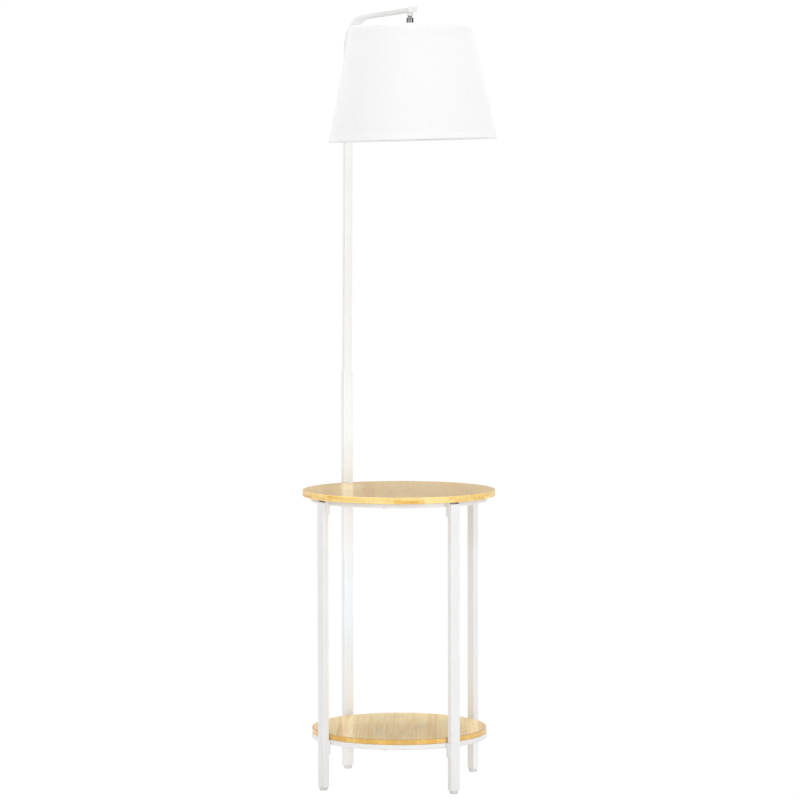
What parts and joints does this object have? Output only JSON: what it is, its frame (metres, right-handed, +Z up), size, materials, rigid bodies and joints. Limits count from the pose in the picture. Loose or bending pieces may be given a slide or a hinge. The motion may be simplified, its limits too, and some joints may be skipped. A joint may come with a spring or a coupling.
{
  "type": "floor lamp with table",
  "caption": "Floor lamp with a round bamboo side table and lower shelf on white tube legs; one leg rises as a bent post that hangs a tapered fabric shade on a swivel.",
  "frame": {"origin": "on the floor under the centre of the table's circle; the box's centre lies within 5 mm of it", "axes": "+Z up, -Y towards the front of the table, +X to the right as seen from the front; the lamp post stands at the back left"},
  "size_m": [0.3988, 0.4029, 1.5853],
  "materials": {
    "bamboo": "lacquered, satin",
    "white_metal": "fine powder coat, satin",
    "cap_plastic": "smooth",
    "foot_plastic": "smooth",
    "zinc_steel": "zinc plated",
    "lead_sheath": "smooth",
    "nylon": "smooth",
    "chrome": "polished",
    "holder_plastic": "smooth",
    "brass": "plain",
    "white_wire": "powder coat",
    "shade_fabric": "linen weave on a stiff liner",
    "bulb_metal": "plain",
    "bulb_glass": "frosted"
  },
  "bodies": {
    "frame": {"table_top": "bamboo", "shelf": "bamboo", "upper_ring": "white_metal", "lower_ring": "white_metal", "upper_brackets": "white_metal", "lower_brackets": "white_metal", "leg_front_left": "white_metal", "leg_front_right": "white_metal", "leg_back_right": "white_metal", "post_lower": "white_metal", "leg_top_caps": "cap_plastic", "glide_feet": "foot_plastic", "leg_inserts": "zinc_steel", "leg_screws": "zinc_steel", "top_wood_screws": "white_metal", "shelf_wood_screws": "white_metal", "pole_upper": "white_metal", "pole_lock_screw": "white_metal", "pole_lock_insert": "zinc_steel", "arm_end_cap": "cap_plastic", "arm_boss": "white_metal", "cord_inlet_grommet": "foot_plastic", "lead_in_pole": "lead_sheath", "swivel_washer": "nylon"},
    "swivel": {"swivel_stud": "chrome", "swivel_nut": "zinc_steel"},
    "head": {"swivel_cup": "chrome", "ball_seat": "nylon", "swivel_plug": "zinc_steel", "holder_cap": "holder_plastic", "holder_nut": "zinc_steel", "holder_body": "holder_plastic", "holder_shell": "brass", "holder_contact": "brass", "shade_ring_nut": "holder_plastic", "shade_frame": "white_wire", "shade_bottom_ring": "white_wire", "shade_shell": "shade_fabric", "shade_top_hem": "shade_fabric", "shade_bottom_hem": "shade_fabric", "bulb_cap": "bulb_metal", "bulb_globe": "bulb_glass"}
  },
  "joints": [
    {"name": "shade_pan", "type": "hinge", "parent": "frame", "child": "swivel", "pos_m": [0.02371, -0.03386, 1.57], "axis": [0, 0, 1], "range_deg": [-170, 170]},
    {"name": "shade_tilt", "type": "hinge", "parent": "swivel", "child": "head", "pos_m": [0.02371, -0.03386, 1.55705], "axis": [0, 1, 0], "range_deg": [-7, 9.8]}
  ]
}
